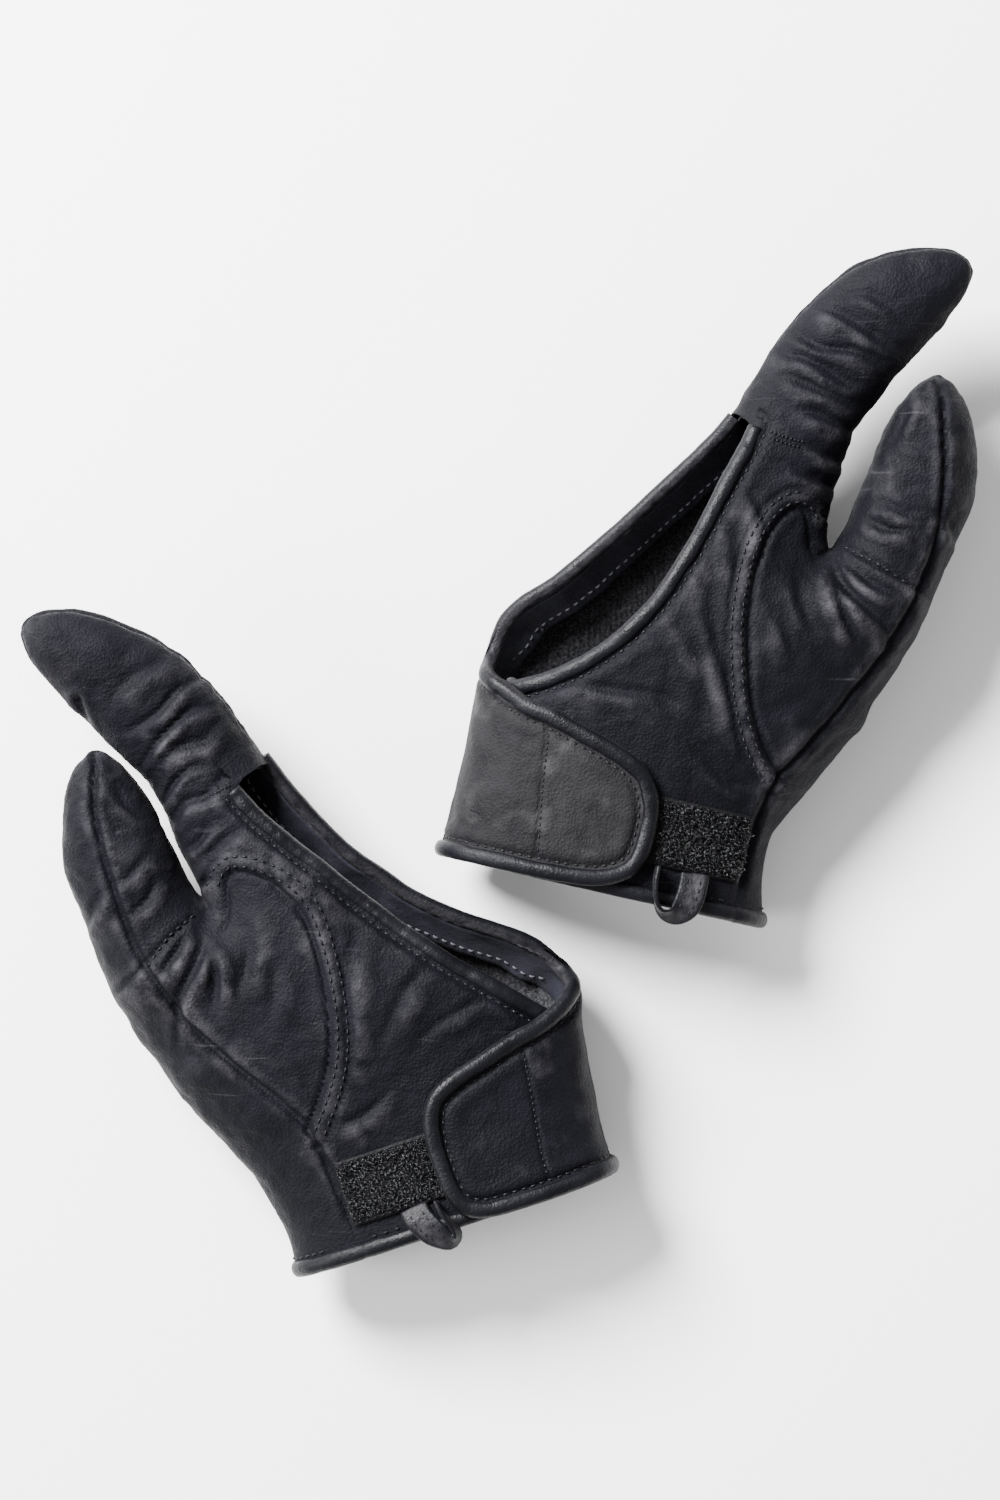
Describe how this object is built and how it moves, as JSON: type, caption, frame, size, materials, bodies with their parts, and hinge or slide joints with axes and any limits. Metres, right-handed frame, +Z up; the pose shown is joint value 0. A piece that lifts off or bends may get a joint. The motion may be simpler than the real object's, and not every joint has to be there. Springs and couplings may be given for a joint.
{
  "type": "pair of partly fingerless gloves",
  "caption": "Pair of black leather gloves that cover the thumb and index finger, with a bound opening for the other fingers and a wrist tab.",
  "frame": {"origin": "on the surface that the gloves lie on, under the middle of the pair's bounding box", "axes": "+Z up, out of the palms; +Y towards the fingertips; +X to the right glove's side"},
  "size_m": [0.2935, 0.3178, 0.0522],
  "materials": {
    "leather": "matte black nubuck",
    "thumb_leather": "matte black nubuck, a little worn",
    "binding_leather": "smooth satin black leather",
    "facing_leather": "smooth matte black leather",
    "lining": "brushed black knit",
    "loop_tape": "glossy looped pile",
    "hook_tape": "glossy moulded hooks",
    "thread": "waxed polyester thread"
  },
  "bodies": {
    "left_glove": {"left_palm_panel": "leather", "left_back_panel": "leather", "left_thumb_gusset": "thumb_leather", "left_palm_lining": "lining", "left_back_lining": "lining", "left_edge_facing": "facing_leather", "left_palm_edge_binding": "binding_leather", "left_back_edge_binding": "binding_leather", "left_palm_hem_binding": "binding_leather", "left_back_hem_binding": "binding_leather", "left_loop_patch": "loop_tape", "left_thumb_seam_thread": "thread", "left_thumb_cross_thread": "thread", "left_palm_edge_thread": "thread", "left_back_edge_thread": "thread", "left_hem_thread": "thread", "left_patch_thread": "thread"},
    "left_thumb": {"left_thumb_front": "thumb_leather", "left_thumb_back": "thumb_leather", "left_thumb_lining": "lining"},
    "left_index": {"left_index_front": "leather", "left_index_back": "leather", "left_index_lining": "lining"},
    "left_tab": {"left_tab_panel": "leather", "left_tab_binding": "binding_leather", "left_hook_patch": "hook_tape", "left_tab_thread": "thread"},
    "left_pull_loop": {"left_pull_loop": "binding_leather"},
    "right_glove": {"right_palm_panel": "leather", "right_back_panel": "leather", "right_thumb_gusset": "thumb_leather", "right_palm_lining": "lining", "right_back_lining": "lining", "right_edge_facing": "facing_leather", "right_palm_edge_binding": "binding_leather", "right_back_edge_binding": "binding_leather", "right_palm_hem_binding": "binding_leather", "right_back_hem_binding": "binding_leather", "right_loop_patch": "loop_tape", "right_thumb_seam_thread": "thread", "right_thumb_cross_thread": "thread", "right_palm_edge_thread": "thread", "right_back_edge_thread": "thread", "right_hem_thread": "thread", "right_patch_thread": "thread"},
    "right_thumb": {"right_thumb_front": "thumb_leather", "right_thumb_back": "thumb_leather", "right_thumb_lining": "lining"},
    "right_index": {"right_index_front": "leather", "right_index_back": "leather", "right_index_lining": "lining"},
    "right_tab": {"right_tab_panel": "leather", "right_tab_binding": "binding_leather", "right_hook_patch": "hook_tape", "right_tab_thread": "thread"},
    "right_pull_loop": {"right_pull_loop": "binding_leather"}
  },
  "joints": [
    {"name": "left_tab_hinge", "type": "hinge", "parent": "left_glove", "child": "left_tab", "pos_m": [0.01236, -0.10625, 0.045], "axis": [-0.1841, 0.9828, 0.0176], "range_deg": [0, 140]},
    {"name": "left_pull_loop_hinge", "type": "hinge", "parent": "left_glove", "child": "left_pull_loop", "pos_m": [-0.02427, -0.13669, 0.04619], "axis": [-0.9483, -0.3173, 0], "range_deg": [0, 70]},
    {"name": "left_index_flex", "type": "hinge", "parent": "left_glove", "child": "left_index", "pos_m": [-0.08673, -0.00548, 0.03252], "axis": [0.8869, 0.4619, 0], "range_deg": [0, 30]},
    {"name": "left_thumb_flex", "type": "hinge", "parent": "left_glove", "child": "left_thumb", "pos_m": [-0.10652, -0.05507, 0.02891], "axis": [0.8677, 0.4971, 0], "range_deg": [0, 15]},
    {"name": "right_tab_hinge", "type": "hinge", "parent": "right_glove", "child": "right_tab", "pos_m": [0.01187, -0.00786, 0.04733], "axis": [-0.0811, -0.9966, -0.011], "range_deg": [0, 140]},
    {"name": "right_pull_loop_hinge", "type": "hinge", "parent": "right_glove", "child": "right_pull_loop", "pos_m": [0.05526, -0.03481, 0.04523], "axis": [-0.9755, 0.2198, 0], "range_deg": [0, 70]},
    {"name": "right_index_flex", "type": "hinge", "parent": "right_glove", "child": "right_index", "pos_m": [0.08829, 0.10151, 0.03253], "axis": [0.9539, -0.3001, 0], "range_deg": [0, 30]},
    {"name": "right_thumb_flex", "type": "hinge", "parent": "right_glove", "child": "right_thumb", "pos_m": [0.11805, 0.06072, 0.02913], "axis": [0.9196, -0.3929, 0], "range_deg": [0, 15]},
    {"name": "right_glove_lift", "type": "slide", "parent": "left_glove", "child": "right_glove", "axis": [0, 0, 1], "range_m": [0, 0.2]}
  ]
}
